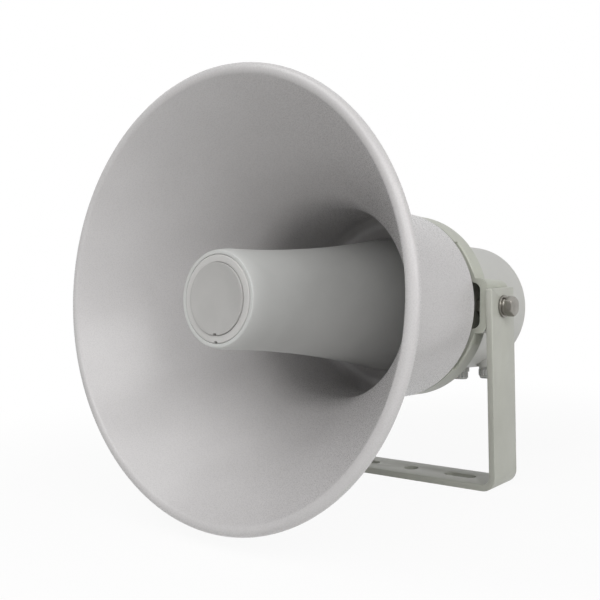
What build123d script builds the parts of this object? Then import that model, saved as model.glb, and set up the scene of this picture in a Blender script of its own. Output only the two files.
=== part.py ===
from build123d import *
import math
import os

# Outdoor horn loudspeaker on a U-bracket, in millimetres.
# The horn is drawn with its mouth at y = 0 and its axis along +Y (backwards),
# then tilted about the pivot bolts and set over the bracket's base.
# The finished frame has its origin under the middle of the bracket's base, the horn
# faces -Y and +Z is up.

# How the horn is aimed
aim_up = 4.0                      # degrees above square to the bracket

# Bell
rim_radius = 142.0
rim_bead_radius = 4.0
rim_bead_middle = 1.2             # behind y = 0
bell_wall = 2.6
flare_depth = 121.0               # of the flare's end behind y = 0
flare_end_radius = 70.2
flare_power = 1.6
bell_draft = 1.2                  # how much wider the rear of the bell is than the flare's end
bell_depth = 193.6
bell_rear_wall = 3.0
bell_rear_hole_radius = 38.0
bell_rear_edge_fillet = 2.5
ring_boss_radius = 4.2             # bosses inside the bell's rear wall for the ring screws
ring_boss_length = 14.0
ring_boss_hole_depth = 13.0
fold_fillet = 10.0                # rounds the sound path where it turns forward
flare_steps = 6

# Reflector, the closed inner horn that forms the nose
nose_radius = 31.0
nose_lip_radius = 2.4
nose_lip_setback = 0.9
nose_recess_step = 3.8            # between the nose's outside and the recess in its tip
nose_web_depth = 8.0
nose_web = 2.8
fold_gap = 12.6                   # between the reflector's end and the bell's rear wall
reflector_end_radius = 50.0
reflector_power = 1.76
reflector_wall = 2.2
reflector_steps = 6

# Trim ring and cap in the tip of the nose
trim_clearance = 0.2
trim_ring_setback = 1.6
trim_ring_corner = 0.9
cap_inset = 5.0                   # inside the nose's recess
cap_proud = 1.8
cap_bevel = 1.3
cap_wall = 2.0
cap_skirt_step = 1.0
cap_screw_room = 0.8
pry_notch_width = 2.4
pry_notch_depth = 1.2
pry_notch_height = 2.2

# Throat tube, which carries the sound forward inside the reflector
throat_bore_radius = 9.8
throat_mouth_radius = 13.5
throat_wall = 2.2
throat_front = 30.0
throat_flange_radius = 44.0
throat_taper_length = 12.0
post_count = 3
post_inset = 2.9                  # of the posts' middles inside the cap's edge
post_radius = 3.6
post_length = 62.0
post_web = 2.4
post_hole_depth = 16.0
reflector_screw_reach = 12.0

# Gasket between bell and mount ring
gasket_thickness = 5.4
gasket_inset = 4.8                # inside the ring's outer radius
gasket_clearance = 0.2

# Mount ring
ring_depth = 16.0
ring_web = 4.0
ring_hole_step = 3.0              # around the driver's seat
ring_band = 6.6                   # thickness of the band
ring_step = 5.4                   # between the side arcs' outside and the band's
ring_inset = 0.4                  # inside the bell's rear radius
hood_forward = 4.6                # how far the top and bottom arcs reach over the gasket
hood_depth = 8.6
seam_overlap = 1.0                # how far fused pieces of the ring run into each other
shoulder_setback = 0.4            # of the side arcs and the ears behind the ring's front
shoulder_from = 48.0              # degrees from the top where a side arc starts
shoulder_to = 74.5                # degrees from the top where it meets the ear
ring_corner = 1.0

# Ears
ear_half_height = 20.2
ear_depth = 33.0
ear_face_gap = 0.15               # between ear and bracket arm
ear_plate = 7.0
ear_corner = 6.0
pocket_half_height = 17.2
pocket_corner = 5.5
pocket_back_wall = 4.0
nut_room = 1.25                   # between the nut and the pocket's floor

# U-bracket
bracket_stand = 11.5              # of an arm's outside beyond the mount ring
bracket_bar = 5.0
bracket_width = 36.0
bracket_bend = 11.0               # outside radius of the bend
pivot_height = 135.6
arm_above_pivot = 13.7
arm_corner = 1.5
base_hole_radius = 5.5
base_slot_width = 9.0
base_slot_length = 26.0
base_slot_spacing = 88.0

# Pivot bolts, M8
bolt_radius = 4.0
bolt_length = 25.0
bolt_head_flats = 13.0
bolt_head_height = 5.5
bolt_running_clearance = 0.08
flat_washer_radius = 8.2
flat_washer_thickness = 1.6
spring_washer_radius = 6.9
spring_washer_thickness = 2.1
spring_washer_split = 1.2
washer_gap = 0.15
pivot_nut_height = 6.5
bolt_tip_room = 0.4
bolt_tip_chamfer = 0.6
bolt_head_crown = 0.3             # radius of the head's flat top beyond its flats
spring_washer_split_angle = 35.0  # from the top

# Ring screws, M4
ring_screw_inset = 6.6            # inside the ring's outer radius
ring_screw_angle = 61.0           # degrees from the top
ring_screw_counterbore = 5.0
ring_screw_reach = 28.0

# Small screws share a head shape: radius and height as multiples of the shank
m3_radius = 1.5
m4_radius = 2.0
head_radius_ratio = 1.75
head_height_ratio = 1.2
socket_ratio = 0.85
socket_depth_ratio = 0.55
head_edge_ratio = 0.4
thread_clearance = 0.05
passing_clearance = 0.2           # of a hole that a screw or a key passes through
head_clearance = 0.3
edge_break = 0.4                  # small rounding of moulded edges
cut_margin = 1.0                  # how far a cut runs past the faces that it opens

# Compression driver
driver_seat_radius = 27.0
driver_flange_inset = 1.0         # inside the cover's gasket
driver_flange = 4.0
driver_flange_width = 8.8         # between the flange's edge and the driver's body
driver_body_depth = 13.0
driver_screw_count = 4
driver_screw_first = 45.0         # degrees from the top
cavity_inset = 7.6                # inside the driver's body
cavity_depth = 6.0
plug_inset = 2.0                  # inside the dome's edge
plug_clearance = 0.6
plug_cone_step = 4.2              # between the plug's edge and its cone
plug_tip_radius = 1.2
plug_setback = 1.0                # of the cone's tip behind the ring's web
vane_setback = 2.0                # of the vanes behind the cone's tip
vane_count = 3
plug_vane = 1.6
vane_clearance = 0.2
dome_radius = 22.0
dome_height = 5.0
dome_skin = 0.5
surround_inset = 4.6              # inside the driver's body
coil_wall = 0.5
coil_length = 9.0
gap_clearance = 0.35
top_plate_thickness = 6.0
magnet_inset = 0.6                # inside the driver's body
magnet_gap = 4.0                  # around the dome's edge
magnet_thickness = 16.0
yoke_plate = 6.0
yoke_chamfer = 1.5
pole_setback = 0.5
screw_tip_gap = 0.2

# Rear cover
cover_length = 116.0
cover_wall = 2.6
cover_end_fillet = 6.0
cover_flange_inset = 0.4          # inside the ring's band
cover_flange_width = 5.6          # between the flange's edge and the cover's cup
cover_flange_corner = 1.0
cover_flange = 4.0
cover_gasket_thickness = 1.0
cover_gasket_lip = 3.6            # inside the cup's outside
cover_screw_stand = 3.2           # of the screws' middles outside the cover's cup
cover_screw_count = 6
cover_screw_first = 30.0          # degrees from the top

# Fittings under the rear cover
fitting_inset = 18.5              # ahead of the cover's end
gland_offset = 28.0               # to each side of the middle
gland_boss_radius = 10.6
gland_boss_proud = 5.5            # of the cover's outside, at the boss's middle
gland_boss_depth = 13.5           # from its face to the lock nut's seat inside the cover
gland_spot_clearance = 0.8
gland_spot_depth = 9.0
gland_shank_proud = 0.8           # of the lock nut
gland_bore_radius = 3.5
gland_thread_radius = 6.0
gland_shank_bore = 4.6
gland_neck_radius = 6.4
gland_flange_radius = 9.4
gland_flange = 2.2
gland_nut_radius = 8.6
gland_nut_height = 7.6
gland_dome = 1.8
gland_flutes = 12
gland_flute_radius = 1.0
gland_flute_stand = 0.45          # of the flutes' middles outside the nut
gland_nut_taper = 1.6
gland_nut_taper_height = 1.4
gland_nut_gap = 0.1
gland_seal_clearance = 0.02
gland_mouth_radius = 5.2          # seat of the rubber seal
gland_mouth_opening = 4.1
gland_locknut_radius = 8.0
gland_locknut_height = 3.0
vent_boss_radius = 8.4
vent_boss_proud = 3.0             # of the cover's outside
vent_radius = 7.4
vent_height = 6.6
vent_thread_radius = 5.0
vent_bore_radius = 2.4
vent_shank_reach = 7.0            # inside the cover's outside
vent_chamfer = 1.2
vent_membrane_radius = 3.6
vent_membrane_thickness = 0.8
vent_flutes = 16
vent_flute_radius = 0.9
vent_flute_stand = 0.3

# Network amplifier
board_lead = 9.5                  # of the board's front face ahead of the fittings
board_clearance = 8.4             # around the board, inside the cover
board_thickness = 1.6
board_flat = 33.0                 # the board is cut flat above the glands
standoff_inset = 4.5              # of the standoffs inside the board's edge
standoff_sink = 0.5               # of the standoffs into the cover's end wall
board_screw_reach = 8.0
board_hole_depth = 9.0
standoff_radius = 3.0
standoff_angles = (60, 180 - 75, 180 + 75, 300)
jack_width = 16.0
jack_height = 13.4
jack_depth = 18.0
jack_port_width = 11.8
jack_port_height = 7.2
jack_port_back = 4.0
jack_latch_height = 2.0
jack_setback = 1.0                # above the board's flat edge
part_gap = 2.0                    # between neighbours on the board
capacitor_radius = 5.0
capacitor_height = 16.0
capacitor_pitch = 12.0
capacitor_count = 3
capacitor_row = 18.0              # above the horn's axis
capacitor_chamfer = 0.6
module_width = 22.0
module_height = 18.0
module_depth = 12.0
sink_width = 22.0
sink_height = 20.0
sink_base = 3.0
sink_fin = 1.6
sink_fin_height = 11.0
sink_fin_count = 6

# Stations along the horn's axis, worked out from the sizes above
bell_rear_radius = flare_end_radius + bell_draft
ring_outer_radius = bell_rear_radius - ring_inset
ring_band_outer = ring_outer_radius - ring_step
ring_band_inner = ring_band_outer - ring_band
ring_hole_radius = driver_seat_radius + ring_hole_step
ring_screw_circle = ring_outer_radius - ring_screw_inset
gasket_radius = ring_outer_radius - gasket_inset
ring_front = bell_depth + gasket_thickness
ear_front = ring_front + shoulder_setback
pivot_behind_rim = ring_front + ear_depth / 2
web_back = ring_front + ring_web
ring_back = ring_front + ring_depth
reflector_length = bell_depth - bell_rear_wall - fold_gap
nose_recess_radius = nose_radius - nose_recess_step
cap_radius = nose_recess_radius - cap_inset
post_circle = cap_radius - post_inset
bracket_outer = ring_outer_radius + bracket_stand
arm_inner = bracket_outer - bracket_bar
ear_face = arm_inner - ear_face_gap
pocket_wall = ear_face - ear_plate
pocket_floor = pocket_wall - pivot_nut_height - nut_room
head_seat = bracket_outer + washer_gap + flat_washer_thickness + spring_washer_thickness
cover_front = web_back + cover_gasket_thickness
cover_end = cover_front + cover_length
cover_inside_end = cover_end - cover_wall
cover_flange_radius = ring_band_inner - cover_flange_inset
cover_radius = cover_flange_radius - cover_flange_width
cover_gasket_inner = cover_radius - cover_gasket_lip
cover_screw_circle = cover_radius + cover_screw_stand
diaphragm_seat = web_back + driver_body_depth
driver_flange_radius = cover_gasket_inner - driver_flange_inset
driver_body_radius = driver_flange_radius - driver_flange_width
driver_screw_circle = driver_flange_radius - driver_flange_width / 2
driver_cavity_radius = driver_body_radius - cavity_inset
surround_radius = driver_body_radius - surround_inset
magnet_radius = driver_body_radius - magnet_inset
magnet_bore = dome_radius + magnet_gap
plug_radius = dome_radius - plug_inset
plug_cone_radius = plug_radius - plug_cone_step
fitting_station = cover_end - fitting_inset
board_station = fitting_station - board_lead
board_radius = cover_radius - cover_wall - board_clearance
standoff_circle = board_radius - standoff_inset
gland_boss_level = math.sqrt(cover_radius ** 2 - gland_offset ** 2) + gland_boss_proud
gland_seat_level = gland_boss_level - gland_boss_depth
vent_boss_level = cover_radius + vent_boss_proud
vent_shank_top = vent_shank_reach - cover_radius


def turned(*edges):
    """Solid of revolution about the horn's axis from edges given as (radius, y)."""
    return revolve(make_face(Curve() + list(edges)), Axis.Y)


def turned_outline(points):
    return turned(Polyline(*points, close=True))


def rod_y(radius, front, back, x=0.0, z=0.0):
    length = back - front
    return Pos(x, front + length / 2, z) * Rot(90, 0, 0) * Cylinder(radius, length)


def rod_x(radius, start, end, y=0.0, z=0.0):
    length = end - start
    return Pos(start + length / 2, y, z) * Rot(0, 90, 0) * Cylinder(radius, length)


def rod_z(radius, bottom, top, x=0.0, y=0.0):
    length = top - bottom
    return Pos(x, y, bottom + length / 2) * Cylinder(radius, length)


def tube_y(outer, inner, front, back):
    return rod_y(outer, front, back) - rod_y(inner, front - cut_margin, back + cut_margin)


def block(x_span, y_span, z_span):
    """Box between the low and high values given for each direction."""
    size = [high - low for low, high in (x_span, y_span, z_span)]
    middle = [(low + high) / 2 for low, high in (x_span, y_span, z_span)]
    return Pos(*middle) * Box(*size)


def turn_about_axis(shape, angle):
    """Turns a shape drawn at the top of the horn by an angle from the top towards +X."""
    return Rot(0, angle, 0) * shape


def ring_of(shape, count, first=0.0):
    return [turn_about_axis(shape, first + 360 / count * k) for k in range(count)]


def four_way(shape, angle):
    """The shape at one angle from the top and at its three mirror images."""
    return [turn_about_axis(shape, a) for a in (angle, 180 - angle, 180 + angle, -angle)]


def sector(points, first, last):
    """Part of a turned outline, from one angle to another, both from the top."""
    face = make_face(Polyline(*points, close=True))
    return turn_about_axis(revolve(face, Axis.Y, last - first), first - 90)


def both_sides(shape):
    return [shape, mirror(shape, Plane.YZ)]


def screw_y(radius, seat, reach, x, z):
    """Pan head screw along the axis: its head lies behind the seat, its shank runs forward."""
    head_radius = radius * head_radius_ratio
    head_height = radius * head_height_ratio
    head = rod_y(head_radius, seat, seat + head_height, x, z)
    head = fillet(head.edges().filter_by(GeomType.CIRCLE).group_by(Axis.Y)[-1], head_height * head_edge_ratio)
    shank = rod_y(radius, seat - reach, seat, x, z)
    socket = Pos(x, seat + head_height, z) * Rot(90, 0, 0) * extrude(
        RegularPolygon(radius * socket_ratio, 6), head_height * socket_depth_ratio, both=True)
    return head + shank - socket


def hexagon_x(flats, start, end, y):
    """Hexagonal bar along X with a corner upwards."""
    outline = Plane.YZ.offset(start) * RegularPolygon(flats / 2, 6, major_radius=False, rotation=30)
    return Pos(0, y, 0) * extrude(outline, end - start)


def flare_radius(share):
    """Radius of the flare, whose share runs from 1 at the rim to 0 at its end."""
    return flare_end_radius + (rim_radius - rim_bead_radius - flare_end_radius) * share ** flare_power


def flare_slope(share):
    rise = (rim_radius - rim_bead_radius - flare_end_radius) * flare_power * share ** (flare_power - 1)
    return -rise / (flare_depth - rim_bead_middle)


def flare_point(share, inset):
    """Point on the flare, moved inwards along its normal."""
    station = flare_depth - share * (flare_depth - rim_bead_middle)
    slope = flare_slope(share)
    length = math.hypot(1, slope)
    return (flare_radius(share) - inset / length, station + slope * inset / length)


def horn_bell():
    shares = [1 - k / flare_steps for k in range(flare_steps + 1)]
    outside = [flare_point(share, 0) for share in shares]
    inside = [flare_point(share, bell_wall) for share in reversed(shares)]
    start = (flare_slope(1), 1)
    back = FilletPolyline(
        outside[-1],
        (bell_rear_radius, bell_depth),
        (bell_rear_hole_radius, bell_depth),
        (bell_rear_hole_radius, bell_depth - bell_rear_wall),
        (bell_rear_radius - bell_wall, bell_depth - bell_rear_wall),
        inside[0],
        radius=[bell_rear_edge_fillet, edge_break, edge_break, fold_fillet])
    bell = turned(
        Spline(*outside, tangents=[start, (0, 1)]),
        back,
        Spline(*inside, tangents=[(0, -1), (-start[0], -1)]),
        Line(inside[-1], outside[0]))
    bead = Pos(0, rim_bead_middle, 0) * Rot(90, 0, 0) * Torus(rim_radius - rim_bead_radius, rim_bead_radius)
    boss = rod_y(ring_boss_radius, bell_depth - ring_boss_length, bell_depth - bell_rear_wall / 2,
                 z=ring_screw_circle)
    hole = rod_y(m4_radius + thread_clearance, bell_depth - ring_boss_hole_depth, bell_depth + cut_margin,
                 z=ring_screw_circle)
    return bell + bead + four_way(boss, ring_screw_angle) - four_way(hole, ring_screw_angle)


def reflector_radius(y):
    return nose_radius + (reflector_end_radius - nose_radius) * (y / reflector_length) ** reflector_power


def reflector_wall_point(y, inset):
    return (reflector_radius(y) - inset, y)


def horn_reflector():
    lip_back = nose_lip_setback + nose_lip_radius
    web_back_face = nose_web_depth + nose_web
    outside_stations = [lip_back + (reflector_length - lip_back) * k / reflector_steps
                        for k in range(reflector_steps + 1)]
    inside_stations = [web_back_face + (reflector_length - web_back_face) * k / reflector_steps
                       for k in range(reflector_steps + 1)]
    outside = [reflector_wall_point(y, 0) for y in outside_stations]
    inside = [reflector_wall_point(y, reflector_wall) for y in reversed(inside_stations)]
    lip_inner = (outside[0][0] - nose_lip_radius, nose_lip_setback)
    shell = turned(
        RadiusArc(lip_inner, outside[0], nose_lip_radius),
        Spline(*outside),
        Line(outside[-1], inside[0]),
        Spline(*inside),
        Polyline(inside[-1], (0, web_back_face), (0, nose_web_depth),
                 (nose_recess_radius, nose_web_depth), (nose_recess_radius, nose_lip_setback), lip_inner))
    hole = rod_y(m3_radius + thread_clearance, 0, web_back_face + cut_margin, z=post_circle)
    return shell - ring_of(hole, post_count)


def pry_notch(radius, front):
    """Small notch at the foot of a round trim piece, for a flat blade."""
    half = pry_notch_width / 2
    return block((-half, half), (front - cut_margin, front + pry_notch_height),
                 (-radius - cut_margin, -radius + pry_notch_depth))


def nose_ring():
    outer = nose_recess_radius - trim_clearance
    inner = cap_radius + trim_clearance
    ring = turned(
        FilletPolyline((inner, nose_web_depth), (inner, trim_ring_setback), (outer, trim_ring_setback),
                       (outer, nose_web_depth), radius=[edge_break, trim_ring_corner]),
        Line((outer, nose_web_depth), (inner, nose_web_depth)))
    return ring - pry_notch(outer, trim_ring_setback)


def nose_cap():
    screw_room = post_circle - m3_radius * head_radius_ratio - cap_screw_room
    step = cap_bevel - cap_proud + cap_wall + cap_skirt_step
    cap = turned_outline([
        (0, -cap_proud), (cap_radius - cap_bevel, -cap_proud), (cap_radius, cap_bevel - cap_proud),
        (cap_radius, step), (screw_room, step),
        (screw_room, nose_web_depth), (screw_room - cap_wall, nose_web_depth),
        (screw_room - cap_wall, cap_wall - cap_proud), (0, cap_wall - cap_proud)])
    return cap - pry_notch(cap_radius, -cap_proud)


def reflector_screws():
    seat = nose_web_depth
    screw = mirror(screw_y(m3_radius, 0, reflector_screw_reach, 0, post_circle), Plane.XZ)
    return ring_of(Pos(0, seat, 0) * screw, post_count)


def throat_tube():
    flange_front = bell_depth
    flange_back = ring_front
    web_back_face = nose_web_depth + nose_web
    tube = turned_outline([
        (throat_bore_radius, flange_back), (throat_flange_radius, flange_back),
        (throat_flange_radius, flange_front), (throat_bore_radius + throat_wall * 2, flange_front),
        (throat_bore_radius + throat_wall, flange_front - throat_taper_length),
        (throat_mouth_radius + throat_wall, throat_front),
        (throat_mouth_radius, throat_front)])
    post = rod_y(post_radius, web_back_face, web_back_face + post_length, z=post_circle)
    half = post_web / 2
    web = block((-half, half), (throat_front, web_back_face + post_length),
                (throat_mouth_radius + throat_wall / 4, post_circle))
    hole = rod_y(m3_radius + thread_clearance, 0, web_back_face + post_hole_depth, z=post_circle)
    carriers = ring_of(post, post_count) + ring_of(web, post_count)
    return tube + carriers - ring_of(hole, post_count)


def horn_gasket():
    ring = tube_y(gasket_radius, throat_flange_radius + gasket_clearance, bell_depth, ring_front)
    hole = rod_y(m4_radius + passing_clearance, bell_depth - cut_margin, ring_front + cut_margin,
                 z=ring_screw_circle)
    return ring - four_way(hole, ring_screw_angle)


def ear():
    """Ear on the +X side: a box that stands off the ring, with a pocket for the nut."""
    ear_back = ear_front + ear_depth
    body = block((ring_band_inner + seam_overlap, ear_face), (ear_front, ear_back),
                 (-ear_half_height, ear_half_height))
    outer = body.edges().filter_by(Axis.Y).group_by(Axis.X)[-1]
    back = body.edges().filter_by(Axis.X).group_by(Axis.Y)[-1]
    return fillet(outer + back, ear_corner)


def ear_cuts():
    pocket = block((pocket_floor, pocket_wall),
                   (ear_front - cut_margin, ear_front + ear_depth - pocket_back_wall),
                   (-pocket_half_height, pocket_half_height))
    pocket = fillet(pocket.edges().filter_by(Axis.Y).group_by(Axis.X)[-1], pocket_corner)
    tip_room = rod_x(bolt_radius + bolt_tip_room, head_seat - bolt_length - bolt_tip_room, pocket_wall,
                     y=pivot_behind_rim)
    bore = rod_x(bolt_radius + thread_clearance, pocket_wall - cut_margin, ear_face + cut_margin,
                 y=pivot_behind_rim)
    return [pocket, tip_room, bore]


def mount_ring():
    band = tube_y(ring_band_outer, ring_band_inner, ring_front, ring_back)
    web = tube_y(ring_band_outer, ring_hole_radius, ring_front, web_back)
    hood_front = ring_front - hood_forward
    hood_back = hood_front + hood_depth
    hood_inner = gasket_radius + gasket_clearance
    seam = ring_band_outer - seam_overlap
    hood = [(hood_inner, hood_front), (ring_outer_radius, hood_front), (ring_outer_radius, hood_back),
            (seam, hood_back), (seam, ring_front), (hood_inner, ring_front)]
    shoulder = [(seam, ear_front), (ring_outer_radius - ring_corner, ear_front),
                (ring_outer_radius, ear_front + ring_corner), (ring_outer_radius, ring_back - ring_corner),
                (ring_outer_radius - ring_corner, ring_back), (seam, ring_back)]
    hoods = [sector(hood, -shoulder_from, shoulder_from),
             sector(hood, 180 - shoulder_from, 180 + shoulder_from)]
    shoulders = []
    for middle in (90, 270):
        for first, last in ((shoulder_from - 90, shoulder_to - 90), (90 - shoulder_to, 90 - shoulder_from)):
            shoulders.append(sector(shoulder, middle + first, middle + last))
    ring = band + web + hoods + shoulders + both_sides(ear())
    for cut in ear_cuts():
        ring -= both_sides(cut)
    through = rod_y(m4_radius + passing_clearance, ring_front - cut_margin, ring_back + cut_margin,
                    z=ring_screw_circle)
    sink = rod_y(m4_radius * head_radius_ratio + head_clearance, ring_back - ring_screw_counterbore,
                 ring_back + cut_margin, z=ring_screw_circle)
    ring -= four_way(through, ring_screw_angle) + four_way(sink, ring_screw_angle)
    driver_hole = rod_y(m4_radius + thread_clearance, ring_front - cut_margin, web_back + cut_margin,
                        z=driver_screw_circle)
    cover_hole = rod_y(m3_radius + thread_clearance, ring_front - cut_margin, web_back + cut_margin,
                       z=cover_screw_circle)
    ring -= ring_of(driver_hole, driver_screw_count, driver_screw_first)
    return ring - ring_of(cover_hole, cover_screw_count, cover_screw_first)


def ring_screws():
    seat = ring_back - ring_screw_counterbore
    return four_way(screw_y(m4_radius, seat, ring_screw_reach, 0, ring_screw_circle), ring_screw_angle)


def driver_housing():
    """Front casting of the driver: flange, throat and the seat for the diaphragm."""
    body_back = diaphragm_seat
    cavity_front = body_back - cavity_depth
    body = turned_outline([
        (throat_bore_radius, ring_front), (driver_seat_radius, ring_front), (driver_seat_radius, web_back),
        (driver_flange_radius, web_back), (driver_flange_radius, web_back + driver_flange),
        (driver_body_radius, web_back + driver_flange), (driver_body_radius, body_back),
        (driver_cavity_radius, body_back), (driver_cavity_radius, cavity_front),
        (plug_radius + plug_clearance, cavity_front), (throat_bore_radius, web_back)])
    hole = rod_y(m4_radius + passing_clearance, web_back - cut_margin, web_back + driver_flange + cut_margin,
                 z=driver_screw_circle)
    return body - ring_of(hole, driver_screw_count, driver_screw_first)


def housing_throat_radius(y):
    """Radius of the driver's throat, which widens from the bore to the phase plug's edge."""
    share = (y - web_back) / (driver_body_depth - cavity_depth)
    return throat_bore_radius + (plug_radius + plug_clearance - throat_bore_radius) * share


def phase_plug():
    """Cone on three vanes that reach the throat's wall."""
    front = web_back + plug_setback
    back = diaphragm_seat - cavity_depth
    cone = turned_outline([(0, front), (plug_tip_radius, front), (plug_cone_radius, back), (0, back)])
    reach = turned_outline([(0, front), (housing_throat_radius(front) - vane_clearance, front),
                            (housing_throat_radius(back) - vane_clearance, back), (0, back)])
    half = plug_vane / 2
    vane = block((-half, half), (front + vane_setback, back), (0, plug_radius + plug_clearance)) & reach
    return cone + ring_of(vane, vane_count)


def dome_arc(apex):
    """Arc of the dome from its apex on the axis to its edge, dome_height further back."""
    sphere = (dome_radius ** 2 + dome_height ** 2) / (2 * dome_height)
    half_angle = math.asin(dome_radius / sphere) / 2
    middle = (sphere * math.sin(half_angle), apex + sphere * (1 - math.cos(half_angle)))
    return ThreePointArc((0, apex), middle, (dome_radius, apex + dome_height))


def diaphragm():
    """Domed skin with a flat surround that is clamped under the top plate."""
    apex = diaphragm_seat - dome_height
    return turned(
        dome_arc(apex),
        Polyline((dome_radius, diaphragm_seat), (surround_radius, diaphragm_seat),
                 (surround_radius, diaphragm_seat + dome_skin), (dome_radius, diaphragm_seat + dome_skin)),
        dome_arc(apex + dome_skin),
        Line((0, apex + dome_skin), (0, apex)))


def voice_coil():
    front = diaphragm_seat + dome_skin
    return tube_y(dome_radius, dome_radius - coil_wall, front, front + coil_length)


def top_plate():
    front = diaphragm_seat + dome_skin
    return tube_y(driver_body_radius, dome_radius + gap_clearance, front, front + top_plate_thickness)


def magnet():
    front = diaphragm_seat + dome_skin + top_plate_thickness
    return tube_y(magnet_radius, magnet_bore, front, front + magnet_thickness)


def yoke():
    plate_front = diaphragm_seat + dome_skin + top_plate_thickness + magnet_thickness
    pole_front = diaphragm_seat + dome_skin + pole_setback
    plate = rod_y(driver_body_radius, plate_front, plate_front + yoke_plate)
    plate = chamfer(plate.edges().filter_by(GeomType.CIRCLE).group_by(Axis.Y)[-1], yoke_chamfer)
    return plate + rod_y(dome_radius - coil_wall - gap_clearance, pole_front, plate_front)


def driver_screws():
    seat = web_back + driver_flange
    return ring_of(screw_y(m4_radius, seat, seat - ring_front - screw_tip_gap, 0, driver_screw_circle),
                   driver_screw_count, driver_screw_first)


def cover_gasket():
    ring = tube_y(cover_flange_radius, cover_gasket_inner, web_back, cover_front)
    hole = rod_y(m3_radius + passing_clearance, web_back - cut_margin, cover_front + cut_margin,
                 z=cover_screw_circle)
    return ring - ring_of(hole, cover_screw_count, cover_screw_first)


def rear_cover():
    inner = cover_radius - cover_wall
    flange_back = cover_front + cover_flange
    shell = turned(
        FilletPolyline(
            (inner, cover_front), (cover_flange_radius, cover_front), (cover_flange_radius, flange_back),
            (cover_radius, flange_back), (cover_radius, cover_end), (0, cover_end),
            radius=[edge_break, cover_flange_corner, edge_break, cover_end_fillet]),
        Line((0, cover_end), (0, cover_inside_end)),
        FilletPolyline((0, cover_inside_end), (inner, cover_inside_end), (inner, cover_front),
                       radius=[cover_end_fillet - cover_wall]))
    gland_boss = rod_z(gland_boss_radius, -gland_boss_level, -gland_seat_level, gland_offset, fitting_station)
    vent_boss = rod_z(vent_boss_radius, -vent_boss_level, vent_shank_top, 0, fitting_station)
    shell += both_sides(gland_boss) + [vent_boss]
    spot = rod_z(gland_locknut_radius + gland_spot_clearance, -gland_seat_level,
                 gland_spot_depth - gland_seat_level,
                 gland_offset, fitting_station)
    gland_hole = rod_z(gland_thread_radius + thread_clearance, -gland_boss_level - cut_margin,
                       cut_margin - gland_seat_level,
                       gland_offset, fitting_station)
    vent_hole = rod_z(vent_thread_radius + thread_clearance, -vent_boss_level - cut_margin,
                      vent_shank_top + cut_margin,
                      0, fitting_station)
    shell -= both_sides(spot) + both_sides(gland_hole) + [vent_hole]
    hole = rod_y(m3_radius + passing_clearance, cover_front - cut_margin, flange_back + cut_margin,
                 z=cover_screw_circle)
    post = rod_y(standoff_radius, board_station + board_thickness, cover_inside_end + standoff_sink)
    core = rod_y(m3_radius + thread_clearance, board_station,
                 board_station + board_thickness + board_hole_depth)
    for angle in standoff_angles:
        x, z = polar(standoff_circle, angle)
        shell += Pos(x, 0, z) * (post - core)
    return shell - ring_of(hole, cover_screw_count, cover_screw_first)


def polar(radius, angle):
    """Point at an angle from the top towards +X."""
    return radius * math.sin(math.radians(angle)), radius * math.cos(math.radians(angle))


def cover_screws():
    seat = cover_front + cover_flange
    return ring_of(screw_y(m3_radius, seat, seat - ring_front - screw_tip_gap, 0, cover_screw_circle),
                   cover_screw_count, cover_screw_first)


def turned_z(points, x):
    """Solid turned about a vertical line through a fitting, from (radius, z) points."""
    face = make_face(Plane.XZ * Polyline(*points, close=True))
    return Pos(x, fitting_station, 0) * revolve(face, Axis.Z)


def gland_bodies():
    """Threaded shank, hexagon and collet neck of each cable gland."""
    top = gland_locknut_height - gland_seat_level + gland_shank_proud
    hexagon_bottom = -gland_boss_level - gland_flange
    neck_bottom = hexagon_bottom - gland_nut_height + gland_dome
    bore = gland_mouth_radius
    tube = turned_z([
        (gland_shank_bore, top), (gland_thread_radius, top), (gland_thread_radius, -gland_boss_level),
        (gland_neck_radius, -gland_boss_level), (gland_neck_radius, neck_bottom), (bore, neck_bottom),
        (bore, hexagon_bottom), (gland_shank_bore, hexagon_bottom)], gland_offset)
    nut = Pos(gland_offset, fitting_station, hexagon_bottom) * extrude(
        RegularPolygon(gland_flange_radius, 6) - Circle((gland_neck_radius + gland_shank_bore) / 2),
        gland_flange)
    return both_sides(tube + nut)


def gland_nuts():
    """Domed cap nut with grip flutes."""
    top = -gland_boss_level - gland_flange - gland_nut_gap
    bottom = top - gland_nut_height
    inner = gland_neck_radius + thread_clearance
    face_level = bottom + gland_dome - gland_nut_gap
    nut = turned_z([
        (inner, top), (gland_nut_radius, top), (gland_nut_radius, bottom + gland_dome + gland_nut_taper_height),
        (gland_nut_radius - gland_nut_taper, bottom), (gland_mouth_opening, bottom),
        (gland_mouth_opening, face_level),
        (inner, face_level)], gland_offset)
    flute = rod_z(gland_flute_radius, bottom + gland_dome + cut_margin, top + cut_margin,
                  gland_nut_radius + gland_flute_stand)
    flutes = [Pos(gland_offset, fitting_station, 0) * Rot(0, 0, 360 / gland_flutes * k) * flute
              for k in range(gland_flutes)]
    return both_sides(nut - flutes)


def gland_seals():
    top = -gland_boss_level - gland_flange
    bottom = top - gland_nut_height + gland_dome
    outer = gland_mouth_radius - gland_seal_clearance
    seal = turned_z([
        (gland_bore_radius, top), (outer, top), (outer, bottom),
        (gland_bore_radius, bottom)], gland_offset)
    return both_sides(seal)


def gland_locknuts():
    bottom = -gland_seat_level
    outline = RegularPolygon(gland_locknut_radius, 6) - Circle(gland_thread_radius + thread_clearance)
    nut = Pos(gland_offset, fitting_station, bottom) * extrude(outline, gland_locknut_height)
    return both_sides(nut)


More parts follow.
